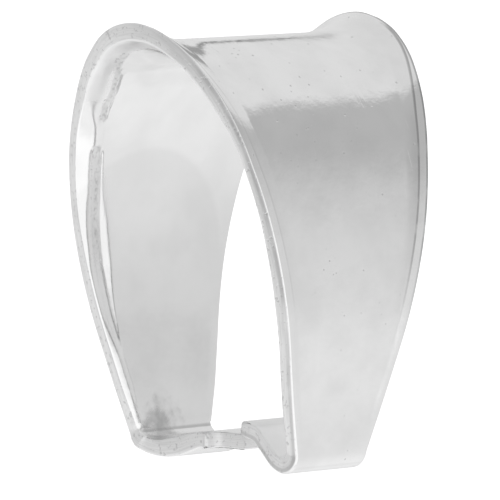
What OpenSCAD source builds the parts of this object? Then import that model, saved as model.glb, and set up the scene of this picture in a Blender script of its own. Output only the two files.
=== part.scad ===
// Clip bail for a pendant: one tapered strip of silver sheet, bent over into a
// tunnel for the chain. Both long rims are flared outwards. The legs end in feet
// that turn inwards, and the left foot carries a flat pin for the pendant's hole.
//
// Frame: X across the two legs, Y along the tunnel, +Z up. The feet stand on Z = 0
// and the middle of the tunnel is over the origin.

/* [Sheet] */
// Thickness of the sheet
sheet = 0.41; // [0.38:0.01:0.42]
// Height of the bail from the floor to the outer edge of the crown's rims
height = 11.6; // [10:0.1:14]

/* [Arch, seen along the tunnel] */
// Half of the breadth over the legs at the widest level
half_breadth = 4.07; // [3.8:0.01:4.6]
// Height of the rounded crown above the widest level
crown_rise = 6.28; // [5.6:0.01:7]
// Radius of the flank between the widest level and the straight of the leg
flank_radius = 10.5; // [8:0.1:12]
// Angle by which the straight of the leg leans inwards
leg_lean = 11.2; // [9:0.1:12]

/* [Strip, seen from the side] */
// Half width of the strip where it reaches the floor
half_foot = 1.01; // [0.9:0.01:1.2]
// Half width of the strip at the top, before the crown spreads
half_crown = 3.66; // [3:0.01:4]
// Outward bow of the strip's edges halfway up
edge_bow = 0.078; // [0:0.001:0.12]
// Extra half width that the crown gains where it is pressed outwards
crown_spread = 0.22; // [0:0.01:0.3]

/* [Flared rims] */
// Flare of the rims on the lower legs
flare_leg = 9; // [4:1:14]
// Flare of the rims at the crown
flare_crown = 29; // [20:1:36]
// Level, as a share of the height, where the flare starts to grow
flare_start = 0.5; // [0.4:0.01:0.6]
// Run of the flared rim near the foot
rim_foot = 0.2; // [0.12:0.01:0.25]
// Growth of that run on the flanks
rim_gain = 0.42; // [0.3:0.01:0.5]
// Loss of that run at the crown
rim_loss = 0.16; // [0:0.01:0.2]
// Width of the bend between the rim and the saddle
rim_bend = 0.14; // [0.1:0.01:0.2]
// Slope of the saddle beside the rim, at the crown
saddle_slope = 0.28; // [0.15:0.01:0.35]

/* [Right foot] */
// Outer radius of the tight bend under the right leg
right_bend = 0.57; // [0.5:0.01:0.65]
// Angle that the tight bend reaches, where 180 faces the floor
right_turn = 180; // [170:1:180]
// Outer radius of the slow bend that lifts the right foot
right_sweep = 1.5; // [1.2:0.05:1.8]
// Rise of the right foot
right_rise = 32; // [28:1:34]
// Length of the straight of the right foot
right_run = 0.74; // [0.6:0.01:0.8]
// Length of the blunt tip beyond the crest
right_tip = 0.6; // [0.5:0.01:0.7]
// Slope that is left in the tip
right_level = 7; // [4:1:14]

/* [Left foot] */
// Outer radius of the tight bend under the left leg
left_bend = 0.44; // [0.43:0.01:0.55]
// Angle that the tight bend reaches
left_turn = 156; // [150:1:165]
// Outer radius of the slow bend that carries the left foot
left_sweep = 2.1; // [1.9:0.05:2.3]
// Rise of the left foot
left_rise = 22; // [18:1:24]
// Length of the straight of the left foot
left_run = 0.34; // [0.3:0.01:0.4]
// Length of the level end, up to the shoulder of the pin
left_tip = 0.16; // [0.12:0.01:0.2]
// Slope that is left in the level end and the pin
left_level = 1; // [0:1:3]
// Radius under both feet where the rise eases into the tip
crest_radius = 0.5; // [0.4:0.01:0.6]
// Half width of both feet at their tips
half_tip = 0.75; // [0.6:0.01:0.85]

/* [Pin] */
// Length of the pin beyond the shoulder of the foot
pin_length = 1; // [0.7:0.01:1.1]
// Half width of the pin
half_pin = 0.33; // [0.25:0.01:0.4]
// Radius of the hollow corners between pin and foot
pin_corner = 0.24; // [0.1:0.01:0.28]
// Radius that rounds the pin's tip, seen from above
pin_round = 0.16; // [0.05:0.01:0.2]

/* [Hidden] */
silver = [0.84, 0.84, 0.85];
// Powers that shape how the flare and the spread gather at the crown
flare_power = 3;
spread_power = 6;
// Levels, as shares of the height, between which the strip's edge turns from square to
// upright, the rim's run grows and the rim's run shrinks again
edge_levels = [0.5, 0.95];
grow_levels = [0.2, 0.77];
fall_levels = [0.8, 1];
// Slope of the saddle beside the rim on the legs
leg_slope = 0.02;
// Largest shares of the half width that the rim and its bend take on a narrow strip, and
// the shares at which the saddle has become flat
rim_share = 0.3;
bend_share = 0.12;
flat_share = 0.5;
least_saddle = 0.1;
// Share of the tight bend, taken from its start, over which the rim runs out
rim_out = 0.62;
// Radius of the corners of both feet, seen from above, and of the right tip, seen from the side
tip_corner = 0.1;
tip_nose = 0.2;
// Step between the rounded and the hollow corner of the shoulder
shoulder_step = 0.012;
// Radius of the nose of the pin, seen from the side
pin_nose = 0.04;
// Largest share of the sheet's thickness that a rounded nose takes away
nose_share = 0.72;
// Places along a rounded nose, as shares of its radius, where it gets a ring
nose_marks = [0.33, 0.6, 0.79, 0.92, 1];
// Steps along the crown, the flank, the leg and each bend
crown_steps = 22;
flank_steps = 4;
leg_steps = 5;
bend_steps = 6;

widest = height - crown_rise;
flat_rim = [0, 0, rim_foot, 0];

function ramp(v) = let (c = min(1, max(0, v))) c * c * (3 - 2 * c);
function between(q, levels) = ramp((q - levels[0]) / (levels[1] - levels[0]));

// Outward direction of the arch: 0 faces up, 90 faces out, 180 faces the floor
function facing(a) = [sin(a), cos(a)];

// Half width of the strip at a level of the arch
function half_strip(z) = let (q = z / height, c = max(0, (z - widest) / crown_rise))
    half_foot + (half_crown - half_foot) * q + 4 * edge_bow * q * (1 - q)
    + crown_spread * pow(c, spread_power);

// Rim at a level of the arch: its slope, the saddle's slope beside it, its run and the
// slant of its edge, which is square to the rim on the legs and upright at the crown
function rim_at(z) = let (
        q = z / height,
        f = pow(max(0, (q - flare_start) / (1 - flare_start)), flare_power),
        flare = flare_leg + (flare_crown - flare_leg) * f,
        edge = flare_leg * (1 - between(q, edge_levels)),
        run = rim_foot + rim_gain * between(q, grow_levels) - rim_loss * between(q, fall_levels))
    [tan(flare), leg_slope + (saddle_slope - leg_slope) * f, run, tan(flare - edge)];

// A station of the strip: [place, facing, half width, rim, shortening of the sheet]
function station(p, a, w, rim = flat_rim, thin = 0) = [p, a, w, rim, thin];

function crown(steps) = [for (i = [0 : steps])
    let (t = 90 * i / steps,
         p = [half_breadth * sin(t), widest + crown_rise * cos(t)],
         a = atan2(sin(t) / half_breadth, cos(t) / crown_rise))
    station(p, a, half_strip(p[1]), rim_at(p[1]))];

function flank(steps) = [for (i = [1 : steps])
    let (a = 90 + leg_lean * i / steps,
         p = [half_breadth - flank_radius, widest] + flank_radius * facing(a))
    station(p, a, half_strip(p[1]), rim_at(p[1]))];

flank_end = [half_breadth - flank_radius, widest] + flank_radius * facing(90 + leg_lean);

// Level of the end of the straight leg, so that the lowest point of the foot is on the floor
function leg_end(bend, turn, sweep) =
    bend * (cos(90 + leg_lean) - cos(turn)) + sweep * (1 + cos(turn));

function leg(end, steps) = let (drop = flank_end[1] - end) [for (i = [1 : steps])
    let (d = drop * i / steps, p = flank_end - [tan(leg_lean), 1] * d)
    station(p, 90 + leg_lean, half_strip(p[1]), rim_at(p[1]))];

// Bend of radius r that starts at place p and turns the facing from a0 to a1
function bend_point(p, r, a0, a) = p + r * (facing(a) - facing(a0));

// Foot from the end of the leg to the start of the tip, with the half width shrinking evenly
function foot(start, bend, turn, sweep, rise, run, level, steps) = let (
        lean = 90 + leg_lean,
        p1 = bend_point(start, bend, lean, turn),
        p2 = bend_point(p1, sweep, turn, 180 + rise),
        p3 = p2 + run * [-cos(rise), sin(rise)],
        w0 = half_strip(start[1]),
        rim0 = rim_at(start[1]),
        count = 3 * steps)
    concat(
        [for (i = [1 : steps]) let (a = lean + (turn - lean) * i / steps, k = ramp(i / steps / rim_out))
            station(bend_point(start, bend, lean, a), a, w0 + (half_tip - w0) * i / count,
                [rim0[0] * (1 - k), rim0[1] * (1 - k), rim0[2], 0])],
        [for (i = [1 : steps]) let (a = turn + (180 + rise - turn) * i / steps)
            station(bend_point(p1, sweep, turn, a), a, w0 + (half_tip - w0) * (steps + i) / count)],
        [for (i = [0 : steps - 2]) let (a = 180 + rise + (level - rise) * i / (steps - 2))
            station(bend_point(p3, -crest_radius, 180 + rise, a), a,
                w0 + (half_tip - w0) * (2 * steps + i + 1) / count)]);

// Blunt end: the sheet thins to a rounded nose over the last stretch
function nose(d, r) = d > r ? 0 : r - sqrt(max(0, r * r - (r - d) * (r - d)));

// Straight stretch of the given length from place p, closed by a rounded nose in both views
function blunt_end(p, level, length, w, r_plan, r_side) = let (
        r = max(r_plan, r_side))
    [for (m = concat([0], nose_marks)) let (left = r * (1 - m))
        station(p + (length - left) * [-cos(level), sin(level)], 180 + level,
            w - nose(left, r_plan), flat_rim, min(nose_share * sheet, 2 * nose(left, r_side)))];

// Shoulder of the left foot: a rounded corner, then a hollow corner down to the pin
function shoulder(p, level) = let (
        go = [-cos(level), sin(level)],
        r = min(pin_corner, half_tip - half_pin - tip_corner))
    concat(
        [for (i = [0 : 3]) let (a = 30 * i)
            station(p + go * (left_tip - tip_corner * (1 - sin(a))), 180 + level,
                half_tip - tip_corner * (1 - cos(a)))],
        [for (i = [0 : 4]) let (a = 22.5 * i)
            station(p + go * (left_tip + shoulder_step + r * (1 - cos(a))), 180 + level,
                half_pin + r * (1 - sin(a)))]);

function last(list) = list[len(list) - 1];

right_leg = leg(leg_end(right_bend, right_turn, right_sweep), leg_steps);
right_foot = foot(last(right_leg)[0], right_bend, right_turn, right_sweep, right_rise,
    right_run, right_level, bend_steps);
right_side = concat(crown(crown_steps), flank(flank_steps), right_leg, right_foot,
    blunt_end(last(right_foot)[0], right_level, right_tip, half_tip, tip_corner, tip_nose));

left_leg = leg(leg_end(left_bend, left_turn, left_sweep), leg_steps);
left_foot = foot(last(left_leg)[0], left_bend, left_turn, left_sweep, left_rise,
    left_run, left_level, bend_steps);
left_shoulder = shoulder(last(left_foot)[0], left_level);
left_side = concat(crown(crown_steps), flank(flank_steps), left_leg, left_foot, left_shoulder,
    blunt_end(last(left_shoulder)[0], left_level, pin_length - pin_corner, half_pin,
        pin_round, pin_nose));

// Section across half of the strip, from the rim to the middle: [inwards, below, slope]
function half_section(w, rim) = let (
        s0 = rim[0], s1 = rim[1],
        e1 = min(rim[2], rim_share * w),
        e2 = e1 + min(rim_bend, bend_share * w),
        e3 = max(flat_share * w, e2 + least_saddle * w),
        d1 = s0 * e1, d2 = d1 + (s0 + s1) / 2 * (e2 - e1), d3 = d2 + s1 / 2 * (e3 - e2))
    [[0, 0, s0], [e1, d1, s0],
     [(e1 + e2) / 2, d1 + (3 * s0 + s1) / 8 * (e2 - e1), (s0 + s1) / 2],
     [e2, d2, s1],
     [(e2 + e3) / 2, d2 + 3 / 8 * s1 * (e3 - e2), s1 / 2],
     [e3, d3, 0], [w, d3, 0]];

// Loop of points round the sheet at a station, outer face first, then the inner face back
function ring(s, side) = let (
        w = s[2], h = half_section(w, s[3]), n = len(h),
        out = facing(s[1]), t = sheet - s[4], lift = s[4] / 2,
        front = [for (q = h) [-w + q[0], -q[1] - lift, -q[2]]],
        back = [for (i = [n - 2 : -1 : 0]) [w - h[i][0], -h[i][1] - lift, h[i][2]]],
        outer = concat(front, back),
        cut = t * s[3][3], end = len(outer) - 1,
        inner = [for (i = [0 : end]) let (q = outer[i], u = sqrt(1 + q[2] * q[2]),
                g = i == 0 ? cut : i == end ? -cut : 0)
            [q[0] + (t * q[2] + g) / u, q[1] - (t - q[2] * g) / u]],
        loop = concat([for (q = outer) [q[0], q[1]]], [for (i = [len(inner) - 1 : -1 : 0]) inner[i]]))
    [for (q = loop) [side * (s[0][0] + q[1] * out[0]), q[0], s[0][1] + q[1] * out[1]]];

// One skin over all the rings, closed by a fan at each end
module skin(rings) {
    m = len(rings);
    k = len(rings[0]);
    half = k / 2;
    points = [for (r = rings) each r];
    sides = [for (i = [0 : m - 2], j = [0 : k - 1])
        let (a = i * k + j, b = i * k + (j + 1) % k, c = b + k, d = a + k)
        each [[a, c, d], [a, b, c]]];
    cap = [for (j = [0 : half - 2])
        each [[j, k - 2 - j, j + 1], [j, k - 1 - j, k - 2 - j]]];
    cap_end = [for (f = cap) [for (v = [2, 1, 0]) f[v] + (m - 1) * k]];
    polyhedron(points, concat(sides, cap, cap_end));
}

module bail() {
    left_rings = [for (i = [len(left_side) - 1 : -1 : 1]) ring(left_side[i], -1)];
    right_rings = [for (s = right_side) ring(s, 1)];
    color(silver) skin(concat(left_rings, right_rings));
}

bail();
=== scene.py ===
# %% [markdown]
# # A clip bail in polished silver
# A bail is the little loop that a pendant hangs from. This one is a single strip of
# sterling silver: stamped flat, pressed so that its long rims flare, and bent over into
# a tunnel for the chain. Its two feet spring together, and the left one ends in a pin.
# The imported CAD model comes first, because every size below has to agree with it.

# %% The frame from the CAD
import math

import bmesh
import bpy
import numpy as np
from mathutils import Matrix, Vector
from mathutils.kdtree import KDTree


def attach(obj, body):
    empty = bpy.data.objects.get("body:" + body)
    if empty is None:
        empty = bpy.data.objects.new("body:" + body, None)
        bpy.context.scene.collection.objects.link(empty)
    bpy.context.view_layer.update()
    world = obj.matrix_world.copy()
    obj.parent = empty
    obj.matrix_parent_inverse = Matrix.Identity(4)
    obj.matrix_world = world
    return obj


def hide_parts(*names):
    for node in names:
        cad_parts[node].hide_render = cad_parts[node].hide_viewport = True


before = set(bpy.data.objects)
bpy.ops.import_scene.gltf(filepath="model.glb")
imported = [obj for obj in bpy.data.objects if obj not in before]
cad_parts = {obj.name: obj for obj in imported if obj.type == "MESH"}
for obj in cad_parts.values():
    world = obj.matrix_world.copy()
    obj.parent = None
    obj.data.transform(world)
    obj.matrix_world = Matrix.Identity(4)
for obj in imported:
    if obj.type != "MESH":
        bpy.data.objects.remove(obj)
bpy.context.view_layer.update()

MM = 0.001

# %% [markdown]
# ## The camera
# The photograph was taken from the front right, a little above the floor, with a long
# lens from about 19 cm. The direction comes from the way the tunnel's two mouths show,
# and the distance from how much larger the near leg is than the far one. With this lens
# a millimetre of the bail covers 38.5 pixels of a picture 500 pixels wide.

# %% Camera
AZIMUTH, ELEVATION = math.radians(49), math.radians(4.85)
DISTANCE, LENS = 192.2, 532.8
towards_camera = Vector((math.sin(AZIMUTH) * math.cos(ELEVATION),
                         -math.cos(AZIMUTH) * math.cos(ELEVATION), math.sin(ELEVATION)))
looked_at = Vector((0, 0, 6.26 * MM))
camera_data = bpy.data.cameras.new("camera")
camera_data.sensor_width, camera_data.lens = 36, LENS
camera_data.shift_x, camera_data.shift_y = 0.0046, -0.0566
camera_data.clip_start, camera_data.clip_end = 0.01, 20
camera = bpy.data.objects.new("camera", camera_data)
camera.location = looked_at + towards_camera * DISTANCE * MM
camera.rotation_euler = towards_camera.to_track_quat("Z", "Y").to_euler()
bpy.context.scene.collection.objects.link(camera)
bpy.context.scene.camera = camera
print("camera in mm:", [round(v / MM, 1) for v in camera.location])

# %% [markdown]
# ## The strip, station by station
# The real strip is bent round a mandrel. Seen along the tunnel its outer face is half an
# ellipse over two slightly bowed, leaning legs, and each leg ends in a tight bend and a
# foot. A subdivided curve could follow that by eye. Here the lengths and angles of the
# CAD source give the places, so that both models agree, only with many more stations,
# because polished metal shows every facet of a coarse curve.
#
# Two helpers come first: a smooth step, and the outward direction at a turn of the strip.

# %% Sizes of the arch in mm
SHEET, HEIGHT = 0.41, 11.6
HALF_BREADTH, CROWN_RISE = 4.07, 6.28  # half axes of the ellipse
FLANK_RADIUS, LEG_LEAN = 10.5, 11.2  # bow of the flank, and how many degrees a leg leans
WIDEST = HEIGHT - CROWN_RISE  # the level where the ellipse meets the flanks


def between(q, low, high):
    """0 below low, 1 above high and a smooth step from one to the other."""
    c = min(1.0, max(0.0, (q - low) / (high - low)))
    return c * c * (3 - 2 * c)


def facing(turn):
    """Outward direction in the XZ plane: 0 faces up, 90 out, 180 the floor."""
    return np.array([math.sin(math.radians(turn)), math.cos(math.radians(turn))])


print(f"ellipse above {WIDEST:.2f} mm, legs leaning {LEG_LEAN} degrees")

# %% [markdown]
# ## Width and flare
# The blank is narrow at the feet and broad at the crown, and its width swells a little
# on the way. Both long rims flare, least at the feet and most at the crown, where the
# press had the most metal to move. So width and flare are told by the level alone.

# %% Width and flare at a level
HALF_FOOT, HALF_CROWN, HALF_TIP = 1.01, 3.66, 0.75
LEG_SWELL, CROWN_SWELL = 0.312, 0.22
fuller_at = np.array([(0, 0.1), (3, 0.1), (5, 0.08), (7.5, 0.08), (9, 0.1), (10.5, 0.12),
                      (11.2, 0.08), (HEIGHT, 0)])


def half_strip(z):
    """Half width of the strip at a level of the arch."""
    q, c = z / HEIGHT, max(0.0, (z - WIDEST) / CROWN_RISE)
    return (HALF_FOOT + (HALF_CROWN - HALF_FOOT) * q + LEG_SWELL * q * (1 - q)
            + CROWN_SWELL * c ** 6 + np.interp(z, *fuller_at.T))


def rim_at(z):
    """Slope of the flared rim, slope of the saddle beside it, the rim's run in mm, and
    how far its edge leans from square."""
    q = z / HEIGHT
    gather = max(0.0, 2 * q - 1) ** 3
    flare = 9 + 20 * gather
    edge = 9 * (1 - between(q, 0.5, 0.95))
    run = 0.2 + 0.42 * between(q, 0.2, 0.77) - 0.16 * between(q, 0.8, 1)
    return (math.tan(math.radians(flare)), 0.02 + 0.26 * gather, run,
            math.tan(math.radians(flare - edge)))


print(f"half width {half_strip(0):.2f} mm at the feet, {half_strip(HEIGHT):.2f} mm at the crown")

# %% [markdown]
# ## The arch
# One side is enough, because the other is its mirror image. Its stations follow the
# ellipse from the crown down and then the bowed flank. Each holds its place on the outer
# face, the way it faces, its half width and its rim.

# %% Arch
def arch(crown_steps=90, flank_steps=18):
    """Stations from the crown to the end of the flank: place, turn, half width, rim."""
    made = []
    for i in range(crown_steps + 1):
        t = math.radians(90 * i / crown_steps)
        place = np.array([HALF_BREADTH * math.sin(t), WIDEST + CROWN_RISE * math.cos(t)])
        turn = math.degrees(math.atan2(math.sin(t) / HALF_BREADTH, math.cos(t) / CROWN_RISE))
        made.append((place, turn, half_strip(place[1]), rim_at(place[1])))
    centre = np.array([HALF_BREADTH - FLANK_RADIUS, WIDEST])
    for i in range(1, flank_steps + 1):
        turn = 90 + LEG_LEAN * i / flank_steps
        place = centre + FLANK_RADIUS * facing(turn)
        made.append((place, turn, half_strip(place[1]), rim_at(place[1])))
    return made


print("stations on one side of the arch:", len(arch()))

# %% [markdown]
# ## Legs and feet
# Below the flank the leg runs straight and its flare dies out. A tight bend turns it
# under, a slow one lifts it again, and over a small crest the foot ends level. It tapers
# only beyond the tight bend, as the photograph shows. The right foot rises higher than
# the left, so that the pin of the left one slips in beneath it. One function makes both,
# because they differ in their sizes only.

# %% Legs and feet
CREST_RADIUS, LEFT_UNDER = 0.5, 156


def bend(place, radius, start, end, steps):
    """Places and turns along a bend of this outer radius."""
    turns = [start + (end - start) * i / steps for i in range(1, steps + 1)]
    return [(place + radius * (facing(a) - facing(start)), a) for a in turns]


def straight(place, rise, length, shares):
    """Places and turns along a straight stretch that rises by so many degrees."""
    ahead = np.array([-math.cos(math.radians(rise)), math.sin(math.radians(rise))])
    return [(place + ahead * length * share, 180 + rise) for share in shares]


def foot(start, tight, under, slow, rise, run, tip, level, steps):
    """Path of a foot: a tight bend to the angle under, a slow one up to the rise, a
    straight run, the crest, and the tip at its own level angle."""
    path = bend(start, tight, 90 + LEG_LEAN, under, steps)
    path += bend(path[-1][0], slow, under, 180 + rise, steps)
    path += straight(path[-1][0], rise, run, (0.5, 1))
    path += bend(path[-1][0], -CREST_RADIUS, 180 + rise, 180 + level, steps // 2)
    return path + straight(path[-1][0], level, tip, (0.45, 1))


def leg_and_foot(tight, under, slow, *rest, steps=20):
    """Stations of the straight leg and of the foot below it."""
    lean, top = 90 + LEG_LEAN, arch()[-1][0]
    drop = top[1] - (tight * (facing(lean)[1] - facing(under)[1]) + slow * (1 + facing(under)[1]))
    made = []
    for i in range(1, steps + 1):
        place = top - np.array([math.tan(math.radians(LEG_LEAN)), 1]) * drop * i / steps
        slope, saddle, run, slant = rim_at(place[1])
        flare = 1 - between(i / steps, 0.5, 1)
        rim = (slope * flare, saddle * flare, run, slant)
        made.append((place, lean, half_strip(place[1]), rim))
    path, half = foot(place, tight, under, slow, *rest, steps), made[-1][2]
    gone = np.cumsum([0.0] + [np.linalg.norm(b[0] - a[0]) for a, b in zip(path, path[1:])])
    gone = np.maximum(0, gone - gone[steps - 1]) / (gone[-1] - gone[steps - 1])
    for (place, turn), share in zip(path, gone):
        made.append((place, turn, half + (HALF_TIP - half) * share, (0.0, 0.0, run, 0.0)))
    return made


right = arch() + leg_and_foot(0.57, 180, 1.5, 32, 0.74, 0.6, 7)
left = arch() + leg_and_foot(0.44, LEFT_UNDER, 2.1, 22, 0.34, 0.16, 1)
print(f"{len(right)} stations on the right, {len(left)} on the left")

# %% [markdown]
# ## Both sides in one row
# The left side runs backwards to the crown and the right side on from it. The distance
# along the strip is counted from the crown, negative on the left. Patterns that follow
# the strip read it later, and so does the blank.

# %% All stations
stations = [(-1, s) for s in reversed(left[1:])] + [(1, s) for s in right]
path = np.array([(side * s[0][0], s[0][1]) for side, s in stations])
along = np.concatenate([[0], np.cumsum(np.linalg.norm(np.diff(path, axis=0), axis=1))])
along -= along[len(left) - 1]
print(f"{len(stations)} stations; the blank is {along[-1] - along[0]:.1f} mm long")

# %% [markdown]
# ## The section of the strip
# Across the strip the rim is straight, bends over a short width, and eases into the flat
# saddle. A bevel could round that bend, but then its reflection would break where the
# arc starts. Here the slope changes along a smooth step, and the reflection runs through.
# Columns of points stand closer where the sheet bends.

# %% Section
RIM_BEND = 0.14
LIP, BEND, SADDLE, FLAT = 4, 6, 10, 3  # how many columns each stretch has


def area_of_step(t):
    """What the smooth step t - sin(2 pi t) / (2 pi) adds up to."""
    return t * t / 2 + (np.cos(2 * np.pi * t) - 1) / (4 * np.pi ** 2)


def half_section(half, rim, first):
    """Distances from the rim and depths below it up to the middle, and where the crease
    and the end of the bend lie."""
    slope, saddle, run, _ = rim
    e1 = max(min(run, 0.3 * half), 1.25 * first)
    e2 = e1 + min(RIM_BEND, 0.12 * half)
    e3 = max(0.5 * half, e2 + 0.1 * half)
    lip = np.array([0, first, (2 * first + e1) / 3, (first + 2 * e1) / 3, e1])
    t = np.arange(1, BEND + 1) / BEND
    bend_x = e1 + (e2 - e1) * t
    bend_d = slope * e1 + (e2 - e1) * (slope * t + (saddle - slope) * area_of_step(t))
    t = (np.arange(1, SADDLE + 1) / SADDLE) ** 1.8
    saddle_x = e2 + (e3 - e2) * t
    saddle_d = bend_d[-1] + (e3 - e2) * saddle * (t - area_of_step(t))
    flat_x = e3 + (half - e3) * np.arange(1, FLAT + 1) / FLAT
    flat_d = np.full(FLAT, saddle_d[-1])
    return (np.concatenate([lip, bend_x, saddle_x, flat_x]),
            np.concatenate([slope * lip, bend_d, saddle_d, flat_d]), (e1 + e2) / 2, e2)


x, d, crease = half_section(half_strip(HEIGHT), rim_at(HEIGHT), 0.25)[:3]
print(f"at the crown the crease lies {crease:.2f} mm in, the saddle {d[-1]:.2f} mm deep")

# %% [markdown]
# ## Every section
# The first column keeps clear of the edge, because its arris is rounded later. Near the
# crown the punch's corner left its line a little further in than the bend itself, so the
# distance from that line is kept for each point beside its distance across the strip.

# %% Sections of all stations
further_in_at = np.array([(8.9, 0), (9.5, 0.04), (9.9, 0.16), (10.3, 0.2), (10.6, 0.19),
                          (10.9, 0.12), (11.2, 0.1)])
rows, columns = len(stations), 2 * (LIP + BEND + SADDLE + FLAT) + 1
across, depth = np.zeros((rows, columns)), np.zeros((rows, columns))
from_crease, lip_end = np.zeros((rows, columns)), np.zeros(rows)
for i, (side, (place, turn, half, rim)) in enumerate(stations):
    first = 0.17 + 0.08 * between(place[1] / HEIGHT, 0.45, 0.8)
    x, d, crease, lip_end[i] = half_section(half, rim, first)
    across[i] = np.concatenate([x - half, (half - x[:-1])[::-1]])
    depth[i] = np.concatenate([d, d[:-1][::-1]])
    further_in = np.interp(place[1], *further_in_at.T)
    from_crease[i] = half - crease - further_in - np.abs(across[i])
print("columns across the strip:", columns)

# %% [markdown]
# ## A flat blank
# The factory stamps a flat blank, and here it is a grid primitive. Its points take the
# blank's outline as their UV map, in millimetres, so that scratches lie on the sheet as
# they do on the real one. What each point knows of its place on the strip is kept as
# attributes, which later steps and the materials read.

# %% Blank
bpy.ops.object.select_all(action="DESELECT")
bpy.ops.mesh.primitive_grid_add(x_subdivisions=rows - 1, y_subdivisions=columns - 1, size=2)
bail = bpy.context.active_object
bail.name = bail.data.name = "silver_bail"
flat = np.array([v.co for v in bail.data.vertices])
row = np.rint((flat[:, 0] + 1) / 2 * (rows - 1)).astype(int)
column = np.rint((flat[:, 1] + 1) / 2 * (columns - 1)).astype(int)
for loop, corner in zip(bail.data.loops, bail.data.uv_layers.active.data):
    v = loop.vertex_index
    corner.uv = (along[row[v]], across[row[v], column[v]])
half_widths = np.array([s[2] for side, s in stations])
for name, values in (("from_crease", from_crease[row, column]),
                     ("from_rim", half_widths[row] - np.abs(across[row, column])),
                     ("along", along[row])):
    attribute = bail.data.attributes.new(name, "FLOAT", "POINT")
    attribute.data.foreach_set("value", values.astype(np.float32))
print(f"blank of {len(flat)} points")

# %% [markdown]
# ## Bending
# The real strip goes round a mandrel. Blender's own bend needs a window and knows only
# one circle, so the code takes each point of the blank to its place on the bent strip.
# Near the crown the strip sits a twentieth of a millimetre further back, which the rims
# in the photograph show.

# %% Bending
bent = np.zeros((len(flat), 3))
for k, (i, j) in enumerate(zip(row, column)):
    side, (place, turn, half, rim) = stations[i]
    x, z = place - depth[i, j] * facing(turn)
    to_rear = np.interp(z, (8.0, 9.5, 10.8, 11.4), (0, 0.05, 0.05, 0))
    bent[k] = side * x, across[i, j] + to_rear, z
bail.data.vertices.foreach_set("co", (bent * MM).astype(np.float32).ravel())
bail.data.update()
top_face = max(bail.data.polygons, key=lambda f: f.center.z)
print("the crown's normal points up:", top_face.normal.z > 0)

# %% [markdown]
# ## Thickness
# The sheet is 0.41 mm thick. Solidify adds it on the inner side, which leaves the outer
# face where the CAD has it. It also gives the inner face and the cut edge material slots
# of their own, because one silver has three finishes here: mopped outside, tumbled
# inside, and sheared at the edge.

# %% Thickness
INNER, EDGE = 1, 2  # material slots; the outer face keeps the first, 0


def apply_modifiers(piece):
    bpy.ops.object.select_all(action="DESELECT")
    piece.select_set(True)
    bpy.context.view_layer.objects.active = piece
    for modifier in list(piece.modifiers):
        bpy.ops.object.modifier_apply(modifier=modifier.name)


finishes = ("sterling_silver_mopped", "sterling_silver_tumbled", "sterling_silver_sheared")
for name in finishes:
    bail.data.materials.append(bpy.data.materials.new(name))
wall = bail.modifiers.new("sheet", "SOLIDIFY")
wall.thickness, wall.offset = SHEET * MM, -1
wall.use_even_offset = True
wall.material_offset, wall.material_offset_rim = INNER, EDGE
apply_modifiers(bail)
print(f"{len(bail.data.polygons)} faces with the inner side")

# %% [markdown]
# ## What the punch left inside
# The punch that flared the rims came in at the front mouth, so its marks are on the front
# rim only. It curled the lip a little further out than the outer side shows, most above
# the middle of the leg, and at the feet it turned the lip's very edge. Its corner pressed
# a groove along the crease, deepest in the middle of the leg. The far wall of that groove
# mirrors the bright floor in front as a light strip. The mop slides over the groove and
# leaves it rough, so its points get a small seeded unevenness. The sheet also thickened
# towards the feet, where the strip was squeezed narrow.
#
# Sculpting could do this by hand. Tables by level do it here, because each mark can then
# be set against the photograph on its own.

# %% Marks of the punch
CURL_SLOPE, WIDEST_CURL = 0.3, 0.48
GROOVE_DEPTH, GROOVE_ROUGHNESS = 0.135, 0.003
GROOVE_RIM_SIDE, GROOVE_FLOOR, GROOVE_WALL = -0.3, (-0.1, 0.0), 0.26
curl_at = np.array([(0, 0.13), (1.6, 0.13), (3.7, 0.12), (5, 0.2), (5.8, 0.3), (6.6, 0.46),
                    (7.9, 0.48), (8.4, 0.58), (9.0, 0.5), (9.7, 0.0), (HEIGHT, 0.0)])
groove_at = np.array([(0, 0), (2.6, 0), (3.9, 0.5), (5.0, 1), (6.2, 1), (7, 0.5), (8.2, 0.4),
                      (8.4, 0), (8.9, 0), (9.2, 0.25), (10.6, 0.25), (11.1, 0), (HEIGHT, 0)])
turned_at = np.array([(0, 0.13), (3.2, 0.13), (4.4, 0), (HEIGHT, 0)])
thicker_at = np.array([(0, 0.04), (4, 0.04), (7, 0), (HEIGHT, 0)])
unevenness = np.random.default_rng(7).uniform(-1, 1, (rows, columns))


def pressed_outwards(i):
    """How far in mm the inner points of station i are pressed towards the outer face, and
    how much thicker the sheet is there. The curl and the turned edge both tip back a
    little behind the lip, so that its edge keeps its place."""
    side, (place, turn, half, rim) = stations[i]
    curl, groove, turned, thicker = (np.interp(place[1], *table.T)
                                     for table in (curl_at, groove_at, turned_at, thicker_at))
    from_rim = half - np.abs(across[i])
    behind = from_rim - lip_end[i]
    wall_end = GROOVE_FLOOR[1] + GROOVE_WALL * max(groove, 0.1)
    bowl = np.interp(from_crease[i], (GROOVE_RIM_SIDE, *GROOVE_FLOOR, wall_end), (0, 1, 1, 0))
    tipped_back = 0.5 * min(curl, WIDEST_CURL) * np.interp(behind, (-0.25, 0), (1, 0))
    pressed = CURL_SLOPE * (np.maximum(0, curl - from_rim) - tipped_back)
    pressed += groove * bowl * (GROOVE_DEPTH + GROOVE_ROUGHNESS * unevenness[i])
    pressed += turned * (np.maximum(0, lip_end[i] - from_rim)
                         - 0.3 * lip_end[i] * np.interp(behind, (-0.05, 0.25), (1, 0)))
    return pressed * (across[i] < 0) - thicker, thicker


deepest = max(pressed_outwards(i)[0].max() for i in range(rows))
print(f"pressed outwards by up to {deepest:.2f} mm in a sheet of {SHEET} mm")

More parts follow.
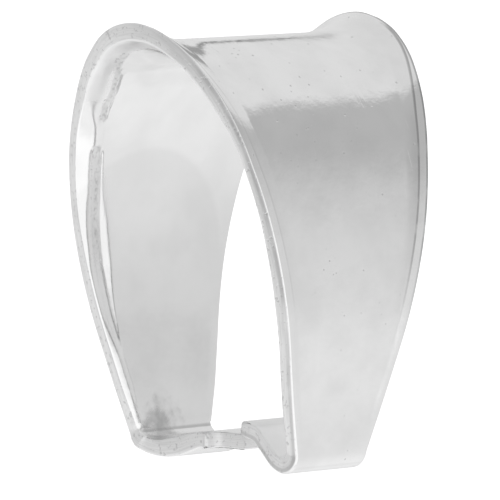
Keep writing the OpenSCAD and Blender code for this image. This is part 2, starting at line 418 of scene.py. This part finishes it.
# %% [markdown]
# ## The inner side of the rim
# The blank was cut square before the crown was pressed outwards, and afterwards the edge
# stands upright there. So on the inner side the lip's points slide back along the lip,
# most at the edge and not at all beyond the bend. Then the marks of the punch are pressed
# in, along the line from each inner point to the outer one above it.
#
# The marks stop where the leg ends. On the left foot the metal gathered between the
# tight bend and the pin, and the sheet is thicker there.

# %% Inner side of the rim
LEG_END_TURN, GATHERED = 102, 0.09


def slide_back(i, points):
    """Slides the inner points of both lips along the lip, to an upright edge."""
    half, rim = stations[i][1][2:]
    from_rim = half - np.abs(across[i])
    for first, second, step in ((0, 1, 1), (columns - 1, columns - 2, -1)):
        tangent = points[second] - points[first]
        tangent /= np.linalg.norm(tangent)
        for j in range(first, first + step * (LIP + BEND + 1), step):
            slide = SHEET * rim[3] * max(0.0, 1 - from_rim[j] / lip_end[i]) ** 2
            points[j] += tangent * slide * MM


count = len(flat)
co = np.array([v.co for v in bail.data.vertices])
outer, inner = np.zeros((rows, columns, 3)), np.zeros((rows, columns, 3))
outer[row, column], inner[row, column] = co[:count], co[count:2 * count]
left_foot = [i for i, (side, s) in enumerate(stations) if side < 0 and s[1] >= LEFT_UNDER]
for i, (side, (place, turn, half, rim)) in enumerate(stations):
    outwards = (outer[i] - inner[i]) / np.linalg.norm(outer[i] - inner[i], axis=1)[:, None]
    pressed, thicker = pressed_outwards(i)
    slide_back(i, inner[i])
    if turn < LEG_END_TURN:
        inner[i] += outwards * pressed[:, None] * MM
    else:
        gathered = i in left_foot and (
            GATHERED * between(along[left_foot[-1]] - along[i], 0.5, 1.2)
            * between(along[i] - along[0], 0.1, 0.7))
        inner[i] -= outwards * (gathered + thicker * (1 - between(turn, LEG_END_TURN, 150))) * MM
print(f"{len(left_foot)} stations on the left foot")

# %% [markdown]
# ## The left foot's inner corner
# The left bend's outer radius is hardly more than the sheet's thickness, so its inner
# rows would run through each other. On the real bail the metal is squeezed there and
# leaves a small hollow curve. One quadratic curve from the foot to the leg, drawn towards
# the corner, takes the place of those rows.

# %% Inner corner of the left foot
tight = [i for i, (side, s) in enumerate(stations)
         if side < 0 and LEG_END_TURN < s[1] < LEFT_UNDER]
first, last = tight[0] - 4, tight[-1] + 2
foot_point, corner, leg_point = inner[first], inner[tight[len(tight) // 2]], inner[last]
rounded = [(1 - t) ** 2 * foot_point + 2 * t * (1 - t) * corner + t ** 2 * leg_point
           for t in np.linspace(0, 1, last - first + 1)]
for i, points in zip(range(first, last + 1), rounded):
    inner[i, :, 0], inner[i, :, 2] = points[:, 0], points[:, 2]
co[count:2 * count] = inner[row, column]
bail.data.vertices.foreach_set("co", co.astype(np.float32).ravel())
bail.data.update()
print("box in mm:", co.min(0) / MM, co.max(0) / MM)

# %% [markdown]
# ## The pin
# The left foot ends square, and the pin was left standing in its middle when the blank
# was stamped. A separate bar could be joined on, but the real one is the same metal. So
# the middle faces of the foot's end are extruded: in small steps that narrow along a
# quarter circle, which gives the hollow corners, and then straight.

# %% Pin
HALF_PIN, PIN_CORNER, PIN_LENGTH = 0.33, 0.24, 1.0


def edit(piece, chosen, kind="FACE"):
    """Opens the piece in edit mode with only the chosen faces or edges selected."""
    bpy.ops.object.select_all(action="DESELECT")
    bpy.context.view_layer.objects.active = piece
    piece.select_set(True)
    bpy.ops.object.mode_set(mode="EDIT")
    bpy.ops.mesh.select_mode(type=kind)
    bpy.ops.mesh.select_all(action="DESELECT")
    mesh = bmesh.from_edit_mesh(piece.data)
    picked = [e for e in (mesh.faces if kind == "FACE" else mesh.edges) if chosen(e)]
    for element in picked:
        element.select_set(True)
    bmesh.update_edit_mesh(piece.data)
    return len(picked)


ahead = Vector((math.cos(math.radians(1)), 0, math.sin(math.radians(1))))
foot_end = Vector((path[0][0], 0, path[0][1])) * MM
picked = edit(bail, lambda f: f.material_index == EDGE and f.normal.dot(ahead) > 0.9
              and abs(f.calc_center_median().y) < (HALF_PIN + PIN_CORNER) * MM
              and (f.calc_center_median() - foot_end).length < 1 * MM)
half, gone = HALF_PIN + PIN_CORNER, 0.0
for a in range(15, 91, 15):
    reached = PIN_CORNER * (1 - math.cos(math.radians(a)))
    narrower = HALF_PIN + PIN_CORNER * (1 - math.sin(math.radians(a)))
    bpy.ops.mesh.extrude_region_move(
        TRANSFORM_OT_translate={"value": ahead * (reached - gone) * MM})
    bpy.ops.transform.resize(value=(1, narrower / half, 1), center_override=foot_end)
    half, gone = narrower, reached
bpy.ops.mesh.extrude_region_move(
    TRANSFORM_OT_translate={"value": ahead * (PIN_LENGTH - PIN_CORNER) * MM})
bpy.ops.object.mode_set(mode="OBJECT")
print(f"pin extruded from {picked} faces")

# %% [markdown]
# ## Corners of the tips
# Seen from above, no corner of the pin or of the feet is sharp, because a sharp one would
# catch on cloth. The upright edges at those corners are bevelled in edit mode, each
# corner with its own radius, before the long arrises get theirs.

# %% Corners of the tips, seen from above
PIN_ROUND, FOOT_CORNER, SHARP = 0.16, 0.1, math.radians(50)
pin_end = foot_end + ahead * PIN_LENGTH * MM
right_end = Vector((path[-1][0], 0, path[-1][1])) * MM


def upright_corner(e, near, reach):
    """An edge through the sheet's thickness, between two cut faces, near a place."""
    middle = (e.verts[0].co + e.verts[1].co) / 2
    middle.y = 0
    return (len(e.link_faces) == 2 and all(f.material_index == EDGE for f in e.link_faces)
            and e.calc_face_angle() > SHARP and (middle - near).length < reach)


for place, radius in ((pin_end, PIN_ROUND), (foot_end, FOOT_CORNER), (right_end, FOOT_CORNER)):
    picked = edit(bail, lambda e: upright_corner(e, place, 0.35 * MM), "EDGE")
    bpy.ops.mesh.bevel(offset=radius * MM, segments=5, affect="EDGES", clamp_overlap=False)
    bpy.ops.object.mode_set(mode="OBJECT")
    print(f"{picked} corners rounded to {radius} mm")

# %% [markdown]
# ## How round each arris is
# Stamping leaves the outer arris of the cut edge almost sharp, and tumbling in steel
# shot rounds the inner one. The right tip is rounded most and the pin least. A bevel
# weight on each edge tells one Bevel modifier how wide to cut, so all arrises can be
# rounded in one go.

# %% Radius of each arris
WIDEST_BEVEL = 0.2
leg_ends = (-along[len(left) - len(arch()) - 20], along[len(left) - 1 + len(arch()) - 1 + 20])


def arris_radius(e, s):
    """Radius in mm of the arris e, which lies s mm along the strip from the crown. It
    changes only where the strip is straight, because a bevel that changes in a bend
    throws out spikes."""
    middle = (e.verts[0].co + e.verts[1].co) / 2
    inner = any(f.material_index == INNER for f in e.link_faces)
    if abs(e.verts[0].co.x - right_end.x) + abs(e.verts[1].co.x - right_end.x) < 0.3 * MM:
        return 0.1 if inner else 0.12
    if middle.x > foot_end.x - 0.02 * MM and s < 0:
        return 0.03 if inner else 0.05
    on_foot = between(abs(s), leg_ends[s > 0] - 1.2, leg_ends[s > 0])
    return 0.06 - 0.02 * on_foot if inner else 0.04 + 0.04 * on_foot


mesh = bmesh.new()
mesh.from_mesh(bail.data)
reach = mesh.verts.layers.float["along"]
weight = mesh.edges.layers.float.new("bevel_weight_edge")
arrises = [e for e in mesh.edges if len(e.link_faces) == 2 and e.calc_face_angle() > SHARP
           and any(f.material_index != EDGE for f in e.link_faces)]
for e in arrises:
    s = (e.verts[0][reach] + e.verts[1][reach]) / 2
    e[weight] = arris_radius(e, s) / WIDEST_BEVEL
print(f"{len(arrises)} arris edges")
mesh.to_mesh(bail.data)
mesh.free()

# %% [markdown]
# ## Rounding them
# Smooth shading comes first. Alone it would make the flat cut edge look puffed up, so
# after the Bevel modifier weighted normals keep every large face flat up to its arris.

# %% Rounded arrises
bpy.ops.object.shade_smooth()
rounding = bail.modifiers.new("arrises", "BEVEL")
rounding.width, rounding.segments = WIDEST_BEVEL * MM, 4
rounding.limit_method, rounding.use_clamp_overlap = "WEIGHT", False
normals = bail.modifiers.new("flat edges", "WEIGHTED_NORMAL")
normals.mode = "FACE_AREA"
apply_modifiers(bail)
print(f"{len(bail.data.polygons)} faces")

# %% [markdown]
# ## What each point knows
# The patterns below follow the strip, so every point carries its distance along it, from
# the rim and from the crease. The rounding made new points that know nothing yet, and
# each takes over what its nearest neighbour knows.

# %% What each point knows
known = {name: np.zeros(len(bail.data.vertices), dtype=np.float32)
         for name in ("along", "from_rim", "from_crease")}
for name, values in known.items():
    bail.data.attributes[name].data.foreach_get("value", values)
co = np.array([v.co for v in bail.data.vertices]) / MM
new = (np.abs(known["along"]) < 1e-6) & (co[:, 2] < 10)
neighbours = KDTree(int((~new).sum()))
for k in np.flatnonzero(~new):
    neighbours.insert(co[k], int(k))
neighbours.balance()
for k in np.flatnonzero(new):
    nearest = neighbours.find(co[k])[1]
    for values in known.values():
        values[k] = values[nearest]
for name, values in known.items():
    bail.data.attributes[name].data.foreach_set("value", values)
print(f"{new.sum()} new points")

# %% [markdown]
# ## How deep each point lies
# The shear leaves its marks in layers through the sheet. So each point is also told how
# deep it lies below the outer face, measured square to the strip where it stands.

# %% Depth through the sheet
turns = np.array([side * s[1] for side, s in stations])
turns[len(left) - 1] = 0
reach = known["along"]
turns = np.radians(np.interp(reach, along, turns))
below = ((np.interp(reach, along, path[:, 0]) - co[:, 0]) * np.sin(turns)
         + (np.interp(reach, along, path[:, 1]) - co[:, 2]) * np.cos(turns))
through = bail.data.attributes.new("through", "FLOAT", "POINT")
through.data.foreach_set("value", below.astype(np.float32))
print(f"depth through the sheet {below.min():.2f} to {below.max():.2f} mm")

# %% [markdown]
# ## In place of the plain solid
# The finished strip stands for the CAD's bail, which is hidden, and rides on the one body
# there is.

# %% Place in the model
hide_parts("bail")
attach(bail, "root")
print("pieces:", [bail.name])

# %% [markdown]
# ## Colour and nodes
# Colours are picked as sRGB hex values, and shaders count in linear light, so one small
# function turns one into the other. Another adds a node with its settings and links.
# A third multiplies smooth steps together into a mask, which tells where a mark of the
# real surface lies and where it fades out.

# %% Helpers for materials
def linear(hex_colour):
    """Turns an sRGB hex colour into linear light."""
    parts = [int(hex_colour[i:i + 2], 16) / 255 for i in (1, 3, 5)]
    return [c / 12.92 if c <= 0.04045 else ((c + 0.055) / 1.055) ** 2.4 for c in parts] + [1.0]


def add(tree, kind, inputs=None, out=0, **settings):
    """Adds a shader node and gives one of its outputs. An input is a value, or the output
    of another node."""
    node = tree.nodes.new("ShaderNode" + kind)
    for name, value in settings.items():
        setattr(node, name, value)
    for name, value in (inputs or {}).items():
        if isinstance(value, bpy.types.NodeSocket):
            tree.links.new(value, node.inputs[name])
        else:
            node.inputs[name].default_value = value
    return node.outputs[out] if node.outputs else None


def where(tree, *limits):
    """A mask that holds where all its limits do. A limit is another mask, a strength, or
    a value with the level where the mask begins and the level where it is full."""
    mask = None
    for limit in limits:
        if isinstance(limit, tuple):
            value, begins, full = limit
            limit = add(tree, "MapRange", {"Value": value, "From Min": begins, "From Max": full},
                        interpolation_type="SMOOTHSTEP")
        mask = limit if mask is None else add(tree, "Math", {0: mask, 1: limit},
                                              operation="MULTIPLY")
    return mask


print("silver, in linear light:", [round(c, 3) for c in linear("#F7F7F7")[:3]])

# %% [markdown]
# ## The start of each finish
# All three finishes are sterling silver: a metal with its own pale colour, which mirrors
# whatever stands round it. They differ in how rough the surface is and in what marks it
# carries, so one function makes the plain metal and hands over where to go on. Patterns
# read the place in millimetres, so their sizes can be written as on the real thing.

# %% Start of each finish
def start_material(name, colour, roughness):
    """Turns the named material into plain metal, and returns its tree, its shader and the
    object's coordinates in millimetres."""
    material = bail.data.materials[name]
    material.use_nodes = True
    tree = material.node_tree
    shader = tree.nodes["Principled BSDF"]
    shader.inputs["Metallic"].default_value = 1
    shader.inputs["Base Color"].default_value = linear(colour)
    shader.inputs["Roughness"].default_value = roughness
    place = add(tree, "TexCoord", out="Object")
    return tree, shader, add(tree, "VectorMath", {0: place, "Scale": 1 / MM}, operation="SCALE")


print("finishes:", *finishes, sep="\n")

# %% [markdown]
# ## Outer face: sterling silver, mopped to a mirror
# The outer face was polished on a cloth mop. It mirrors so well that the metal itself
# shows only where the mirror is not perfect: in hairline scratches left by the cloth, and
# in a few pits that the mop could not reach, most of them near the crown. Real ones are
# finer than a pixel, so both are drawn coarser here.

# %% Outer face: scratches and pits
MOPPED, TUMBLED, SHEARED = finishes
tree, shader, place = start_material(MOPPED, "#F7F7F7", 0.1)
y, z = add(tree, "SeparateXYZ", {0: place}).node.outputs[1:]
uv = add(tree, "UVMap")
hairlines = None
# waves 2.2 mm long and 0.1 mm wide, whose tops are the scratches; real ones are finer
for degrees, across_mm in ((35, 9.0), (-20, 11.0), (80, 8.0)):
    turned = add(tree, "Mapping", {"Vector": uv, "Rotation": (0, 0, math.radians(degrees)),
                                   "Scale": (0.45, across_mm, 1)})
    waves = add(tree, "TexNoise", {"Vector": turned, "Scale": 1.0, "Detail": 1.0})
    scratch = where(tree, (waves, 0.70, 0.76))
    hairlines = scratch if hairlines is None else add(
        tree, "Math", {0: hairlines, 1: scratch}, operation="MAXIMUM")
# each cell of 0.28 mm may hold a pit up to 0.08 mm wide; real ones are finer
cells = add(tree, "TexVoronoi", {"Vector": place, "Scale": 3.6})
# the pits gather in patches of 0.9 mm
patches = add(tree, "TexNoise", {"Vector": place, "Scale": 1.1})
patches = add(tree, "Math", {0: patches, 1: where(tree, (z, 7, 9.5), 0.1)}, operation="ADD")
pits = where(tree, (cells, 0.15, 0.05), (patches, 0.52, 0.6))
print("outer face, marks:", len(tree.nodes), "nodes")

# %% [markdown]
# ## Outer face: tone and painted reflection lines
# The tone of the metal itself varies a little, in clouds about a millimetre wide. A fine
# grey line of painted dark reflection lies in the crease where the flared rim meets the
# saddle, and a darker painted reflection line runs along the rear rim. A painted picture
# could hold these lines. The distance that each point knows puts them on the strip wherever it
# bends.

# %% Outer face: tone
# clouds of 1.25 mm, and breaks in the lines two thirds of a millimetre long
cloud = add(tree, "TexNoise", {"Vector": place, "Scale": 0.8, "Detail": 4.0})
breaks = add(tree, "TexNoise", {"Vector": place, "Scale": 1.5, "Detail": 3.0})
uneven = where(tree, (breaks, 0.15, 0.5))
rear = where(tree, (y, -0.5, 0.5))
high = where(tree, (z, 3.0, 6.5))
from_rim = add(tree, "Attribute", out="Fac", attribute_name="from_rim")
line_place = add(tree, "Math", {0: from_rim, 1: where(tree, (z, 8.9, 11.3), 0.2)},
                 operation="ADD")
# painted dark reflection: a fine grey line in the crease, and a wider faint band below the crown
crisp = where(tree, (line_place, 0.25, 0.28), (line_place, 0.36, 0.30), uneven)
shaded = where(tree, (line_place, 0.25, 0.28), (line_place, 0.75, 0.3), (z, 9.6, 8.6), 0.3)
less_in_front = add(tree, "MapRange", {"Value": rear, "To Min": 0.25, "To Max": 1.0})
crease_reflection_line = add(tree, "Math", {0: crisp, 1: shaded}, operation="MAXIMUM")
crease_reflection_line = where(tree, crease_reflection_line, high, (z, 11.4, 11.15), less_in_front)
# painted dark reflection: a darker grey line along the rear rim
rim_reflection_line = where(tree, (from_rim, 0.09, 0.05), rear, uneven, high, 0.8)
tone = linear("#FAFAFA")
for mask, coat in ((where(tree, (cloud, 0.35, 0.7)), "#F3F3F3"),
                   (where(tree, pits, 0.5), "#C0C0C0"),
                   (crease_reflection_line, "#BEBEBE"), (rim_reflection_line, "#A8A8A8")):
    tone = add(tree, "Mix", {"Factor": mask, 6: tone, 7: linear(coat)}, out=2,
               data_type="RGBA")
tree.links.new(tone, shader.inputs["Base Color"])
print("outer face, with its tone:", len(tree.nodes), "nodes")

# %% [markdown]
# ## Outer face: how smooth it is
# To the eye a mopped mirror is a little softer in some clouds than in others, and softer
# on the rear of the crown, where the mop does not press. It also has a faint orange peel,
# waves a quarter of a millimetre wide and some thousandths deep, and in those the
# reflections swim. Waves and marks are too fine for points, so a bump bends the light.

# %% Outer face: roughness and relief
rough = add(tree, "MapRange", {"Value": cloud, "From Min": 0.3, "From Max": 0.7,
                               "To Min": 0.08, "To Max": 0.13})
rear_crown = where(tree, (y, 0.7, 1.4), (z, 10.7, 11.2))
rough = add(tree, "Math", {0: rear_crown, 1: 0.14, 2: rough}, operation="MULTIPLY_ADD")
tree.links.new(rough, shader.inputs["Roughness"])
peel = add(tree, "TexNoise", {"Vector": place, "Scale": 4.0, "Detail": 3.0})
peeled = add(tree, "Bump", {"Height": peel, "Distance": 0.006 * MM, "Strength": 1.0})
marks = add(tree, "Math", {0: pits, 1: where(tree, hairlines, 0.25)}, operation="MAXIMUM")
marked = add(tree, "Bump", {"Height": marks, "Distance": 0.005 * MM, "Strength": 1.0,
                            "Normal": peeled}, invert=True)
tree.links.new(marked, shader.inputs["Normal"])
print("outer face:", len(tree.nodes), "nodes")

# %% [markdown]
# ## Inner face: sterling silver, bright from the tumbling drum
# A mop does not reach inside the tunnel. The inner face got its shine from steel shot in
# a drum, so it mirrors more softly than the outer one. The groove in the bend of the rim
# keeps a grey, grainy line where neither shot nor mop came. It wanders by some hundredths
# of a millimetre. It is missing at the very crown, breaks off once on the shoulder, and
# fades out down the leg.

# %% Inner face: the line in the groove
tree, shader, place = start_material(TUMBLED, "#F7F7F7", 0.14)
y, z = add(tree, "SeparateXYZ", {0: place}).node.outputs[1:]
front = where(tree, (y, 0.2, -0.2))
signed = add(tree, "Attribute", out="Fac", attribute_name="along")
reach = add(tree, "Math", {0: signed}, operation="ABSOLUTE")
# the line wanders with waves of 0.4 mm
waves = add(tree, "TexNoise", {"Vector": place, "Scale": 2.5, "Detail": 3.0})
wander = add(tree, "Math", {0: waves, 1: 0.12, 2: -0.06}, operation="MULTIPLY_ADD")
crease = add(tree, "Attribute", out="Fac", attribute_name="from_crease")
crease = add(tree, "Math", {0: crease, 1: wander}, operation="ADD")
rim_side = add(tree, "MapRange", {"Value": reach, "From Min": 4.0, "From Max": 5.2,
                                  "To Min": -0.12, "To Max": -0.2})
inside = add(tree, "Math", {0: crease, 1: rim_side}, operation="SUBTRACT")
present = add(tree, "Math", {0: where(tree, (reach, 1.0, 1.3), (reach, 4.4, 4.2)),
                             1: where(tree, (reach, 5.0, 5.15), (reach, 9.3, 7.8))},
              operation="MAXIMUM")
line = where(tree, (inside, -0.02, 0.03), (crease, 0.07, 0.02), present, front)
border = where(tree, (inside, -0.05, -0.01), (inside, 0.06, 0.01), present, front)
edges = where(tree, (inside, -0.14, -0.04), (crease, 0.2, 0.05), present, front,
              (reach, 5.0, 6.0))
# dark flecks an eighth of a millimetre wide in the floor of the groove
flecks = add(tree, "TexNoise", {"Vector": place, "Scale": 8.0, "Detail": 4.0, "Roughness": 0.7})
core = where(tree, (crease, -0.1, -0.05), (crease, 0.05, 0.01), (flecks, 0.46, 0.62), present,
             front)
print("inner face, line in the groove:", len(tree.nodes), "nodes")

# %% [markdown]
# ## Inner face: grain, light strip and shade
# In the line the metal is grainy, because the punch dragged it there. The groove's far
# wall was rubbed by the punch to an even, soft white. The shade of the tight bend above the
# left foot is painted shade, and a wide faint ring on the leg is a painted dark reflection.
# Each has its own mask, and the coats and the roughness below share them.

# %% Inner face: grain and shades
# grains of 0.08 mm, coarser than real ones so that they show, in patches of 0.8 mm
grain = add(tree, "TexNoise", {"Vector": place, "Scale": 13.0, "Detail": 3.0,
                               "Roughness": 0.7})
grain_patches = add(tree, "TexNoise", {"Vector": place, "Scale": 1.3})
specks = where(tree, (grain, 0.53, 0.68), (grain_patches, 0.35, 0.6))
strip = where(tree, (crease, -0.02, 0.05), (crease, 0.5, 0.1), (reach, 5.4, 6.4),
              (reach, 9.8, 7.8), front)
# the edge of the bend's shade is ragged by waves of a third of a millimetre
ragged = add(tree, "TexNoise", {"Vector": place, "Scale": 3.0, "Detail": 3.0})
to_bend = add(tree, "VectorMath", {0: place, 1: (-2.5, -0.5, 0.8)}, out="Value",
              operation="DISTANCE")
to_bend = add(tree, "Math", {0: to_bend, 1: ragged}, operation="ADD")
bend_shade = where(tree, (to_bend, 1.45, 0.65), (signed, -14.0, -13.4))
# painted dark reflection: a faint grey ring on the inner face of each leg
sideways = add(tree, "VectorMath", {0: place, 1: (0, 1, 1)}, operation="MULTIPLY")
off_centre = add(tree, "VectorMath", {0: sideways, 1: (0, -0.6, 5.3)}, out="Value",
                 operation="DISTANCE")
painted_reflection_ring = where(tree, (off_centre, 2.85, 2.6), (off_centre, 1.0, 2.4), (z, 4.0, 6.5))
print("inner face, with grain and shades:", len(tree.nodes), "nodes")

# %% [markdown]
# ## Inner face: tone
# The colours differ by little, because silver is one metal: most of what shows comes from
# the light. The coats go on one over the other: clouds 1.4 mm wide, the painted reflection ring,
# the line with its flecks and its grain, then the bright wall, and last the painted shade of the
# bend.

# %% Inner face: tone
cloud = add(tree, "TexNoise", {"Vector": place, "Scale": 0.7, "Detail": 3.0})
tone = linear("#FAFAFA")
for mask, coat in ((where(tree, (cloud, 0.35, 0.7)), "#F4F4F4"),
                   (where(tree, painted_reflection_ring, 0.5), "#EAEAEA"),
                   (where(tree, line, 0.2), "#DADADA"), (where(tree, core, 0.4), "#B4B4B4"),
                   (where(tree, line, specks, 0.35), "#A4A4A4"),
                   (where(tree, border, specks, 0.5), "#8A8A8A"),
                   (strip, "#F8F8F8"), (where(tree, bend_shade, 0.6), "#969696")):
    tone = add(tree, "Mix", {"Factor": mask, 6: tone, 7: linear(coat)}, out=2,
               data_type="RGBA")
tree.links.new(tone, shader.inputs["Base Color"])
print("inner face, with its tone:", len(tree.nodes), "nodes")

# %% [markdown]
# ## Inner face: how smooth it is
# Shot rolls best over open ground. The groove, its edges, the inner side of the crown's
# lip and the tops of the feet stay duller, and there the reflections are soft. The peel
# of a tumbled face has waves a third of a millimetre wide, and in the line the grain
# stands up by some thousandths of a millimetre.

# %% Inner face: roughness and relief
from_rim = add(tree, "Attribute", out="Fac", attribute_name="from_rim")
lip = where(tree, (from_rim, 0.75, 0.55), (z, 8.8, 9.6), 0.45)
feet = add(tree, "Math", {0: where(tree, (signed, 11.8, 12.4)),
                          1: where(tree, (signed, -13.7, -14.1))}, operation="MAXIMUM")
dull = where(tree, line, 0.6)
for mask in (core, where(tree, edges, 0.5), where(tree, bend_shade, 0.8),
             where(tree, strip, 0.6), lip, where(tree, feet, 0.5)):
    dull = add(tree, "Math", {0: dull, 1: mask}, operation="MAXIMUM")
rough = add(tree, "MapRange", {"Value": dull, "To Min": 0.13, "To Max": 0.5})
tree.links.new(rough, shader.inputs["Roughness"])
peel = add(tree, "TexNoise", {"Vector": place, "Scale": 3.0, "Detail": 3.0})
peeled = add(tree, "Bump", {"Height": peel, "Distance": 0.006 * MM, "Strength": 1.0})
grained = add(tree, "Bump", {"Height": where(tree, grain, line), "Distance": 0.007 * MM,
                             "Strength": 1.0, "Normal": peeled})
tree.links.new(grained, shader.inputs["Normal"])
print("inner face:", len(tree.nodes), "nodes")

# %% [markdown]
# ## Cut edge: sterling silver, sheared and tumbled
# The blanking punch shears the first part of the sheet's thickness clean and tears the
# rest, which leaves fine lines along the strip. Tumbling rounds them down to a satin
# grey. On the right leg a darker streak is left under the outer arris, where the tear
# began. The pattern follows two distances that each point knows: the one along the strip
# and the depth below the outer face.

# %% Cut edge: tone
tree, shader, place = start_material(SHEARED, "#EDEDED", 0.3)
deep = add(tree, "Attribute", out="Fac", attribute_name="through")
signed = add(tree, "Attribute", out="Fac", attribute_name="along")
# lines 0.8 mm long and 0.05 mm wide, which is wider than real ones
layers = add(tree, "CombineXYZ", {"X": signed, "Y": deep})
layers = add(tree, "VectorMath", {0: layers, 1: (1.2, 22.0, 0)}, operation="MULTIPLY")
streaks = add(tree, "TexNoise", {"Vector": layers, "Scale": 1.0, "Detail": 3.0,
                                 "Roughness": 0.6})
# the streak comes and goes over 1.7 mm
stretches = add(tree, "TexNoise", {"Vector": place, "Scale": 0.6})
torn = where(tree, (deep, 0.03, 0.07), (deep, 0.2, 0.12), (signed, 1.5, 3.5),
             (stretches, 0.3, 0.55))
# dents of a ninth of a millimetre from the shot
dents = add(tree, "TexNoise", {"Vector": place, "Scale": 9.0, "Roughness": 0.6})
dents = where(tree, (dents, 0.58, 0.7))
tone = linear("#FCFCFC")
for mask, coat in ((where(tree, (streaks, 0.35, 0.75)), "#EEEEEE"),
                   (where(tree, torn, 0.6), "#C4C4C4"), (where(tree, dents, 0.4), "#B0B0B0")):
    tone = add(tree, "Mix", {"Factor": mask, 6: tone, 7: linear(coat)}, out=2,
               data_type="RGBA")
tree.links.new(tone, shader.inputs["Base Color"])
print("cut edge, with its tone:", len(tree.nodes), "nodes")

# %% [markdown]
# ## Cut edge: how smooth it is
# Satin is a mirror blurred by the lines and dents. The edge of the left foot was squeezed
# when the foot was bent, and it is the roughest place.

# %% Cut edge: roughness and relief
squeezed = where(tree, (signed, -12.7, -13.2))
rough = add(tree, "MapRange", {"Value": squeezed, "To Min": 0.3, "To Max": 0.62})
tree.links.new(rough, shader.inputs["Roughness"])
lined = add(tree, "Bump", {"Height": streaks, "Distance": 0.003 * MM, "Strength": 1.0})
dented = add(tree, "Bump", {"Height": dents, "Distance": 0.006 * MM, "Strength": 1.0,
                            "Normal": lined}, invert=True)
tree.links.new(dented, shader.inputs["Normal"])
print("cut edge:", len(tree.nodes), "nodes")

# %% [markdown]
# ## The walls of the light tent
# Polished silver shows only what stands round it. The picture was taken in a light tent:
# a white floor, pale walls that darken upwards, and a brighter roof. Real walls could be
# modelled, but the world is simpler here: it gives every direction its own light, and the
# silver mirrors it. One ramp from straight down to straight up holds floor, walls, roof.

# %% Walls of the light tent
world = bpy.data.worlds.new("light tent")
bpy.context.scene.world = world
world.use_nodes = True
tree = world.node_tree
tree.nodes.clear()
direction = add(tree, "TexCoord", out="Generated")
x, y, z = add(tree, "SeparateXYZ", {0: direction}).node.outputs
height = add(tree, "Math", {0: z}, operation="ARCSINE")
around = add(tree, "Math", {0: y, 1: x}, operation="ARCTAN2")
share = add(tree, "MapRange", {"Value": height, "From Min": -math.pi / 2,
                               "From Max": math.pi / 2})
colour = add(tree, "ValToRGB", {"Fac": share})
wall_light = {-90: 1.08, -70: 0.93, -58: 0.885, -48: 0.88, -25: 0.81, -12: 0.735, 0: 0.68,
              12: 0.655, 22: 0.70, 30: 0.745, 50: 0.745, 62: 0.70, 90: 0.68}  # by degrees up
stops = colour.node.color_ramp.elements
while len(stops) < len(wall_light):
    stops.new(0.5)
for stop, level in zip(stops, wall_light):
    stop.position = (level + 90) / 180
for stop, light in zip(stops, wall_light.values()):
    stop.color = (light, light, light, 1)
print("levels of light on the walls:", len(stops))

# %% [markdown]
# ## Patches of light
# On these walls lie patches that the silver in the picture mirrors: the floor is
# brightest towards the camera, one side is darker, and behind on the right there is an
# opening. Each patch has its light and then its limits: round the tent or up, the angle
# in degrees where it begins or ends, and over how many degrees it softens there. A
# negative softness ends a patch, a positive one begins it.

# %% Patches of light
tilted = add(tree, "VectorMath", {0: direction, 1: (0.870, 0.123, -0.477)}, out="Value",
             operation="DOT_PRODUCT")
light_patches = {
    "back wall": (0.75, (around, 100, 20), (height, -8, 10), (height, 40, -20)),
    "front floor": (1.08, (around, -138, 40), (around, 20, -30), (height, -12, -30),
                    (height, -55, 10)),
    "camera side": (1.06, (around, -92, 20), (around, 5, -20), (height, -58, 10),
                    (height, 4, -20)),
    "darker side": (0.52, (around, -135, 25), (around, -88, -20), (height, -30, 10),
                    (height, 60, -20)),
    "opening": (0.47, (around, 14, 20), (tilted, 0.9, 6.9), (height, 17, 26),
                (height, 62, -8)),
    "dark bar": (0.26, (around, 117, 4), (around, 137, -3), (height, 20, 2),
                 (height, 24.5, -2)),
    "dark post": (0.34, (around, 121, 5), (around, 131, -3), (height, 7, 3),
                  (height, 26, -2)),
    "far seam": (0.83, (around, 94, 8), (around, 112, -8), (height, -53, 5),
                 (height, -44, -4)),
}
for light, *limits in light_patches.values():
    mask = where(tree, *((value, math.radians(edge - soft / 2), math.radians(edge + soft / 2))
                         for value, edge, soft in limits))
    colour = add(tree, "Mix", {"Factor": mask, 6: colour, 7: (light, light, light, 1)}, out=2,
                 data_type="RGBA")
background = add(tree, "Background", {"Color": colour, "Strength": 1.0})
add(tree, "OutputWorld", {"Surface": background})
bpy.context.scene.view_settings.view_transform = "Standard"
print("patches of light:", ", ".join(light_patches))

# %% [markdown]
# ## Floor
# The bail stands on white paper. The world already gives the silver its bright floor to
# mirror, and better than a plane could, so the plane is hidden from reflections. It is
# only what the camera sees beneath the bail. A faint glow of its own stands for the light
# that the tent's walls throw back onto the paper.

# %% Floor
bpy.ops.object.select_all(action="DESELECT")
bpy.ops.mesh.primitive_plane_add(size=4)
floor = bpy.context.active_object
floor.name = "floor"
paper = bpy.data.materials.new("white paper floor")
paper.use_nodes = True
shader = paper.node_tree.nodes["Principled BSDF"]
shader.inputs["Base Color"].default_value = linear("#F2F2F2")
shader.inputs["Roughness"].default_value = 0.9
shader.inputs["Specular IOR Level"].default_value = 0.1
shader.inputs["Emission Color"].default_value = linear("#FFFFFF")
shader.inputs["Emission Strength"].default_value = 0.6
floor.data.materials.append(paper)
floor.visible_glossy = False
print("the paper shows in reflections:", floor.visible_glossy)
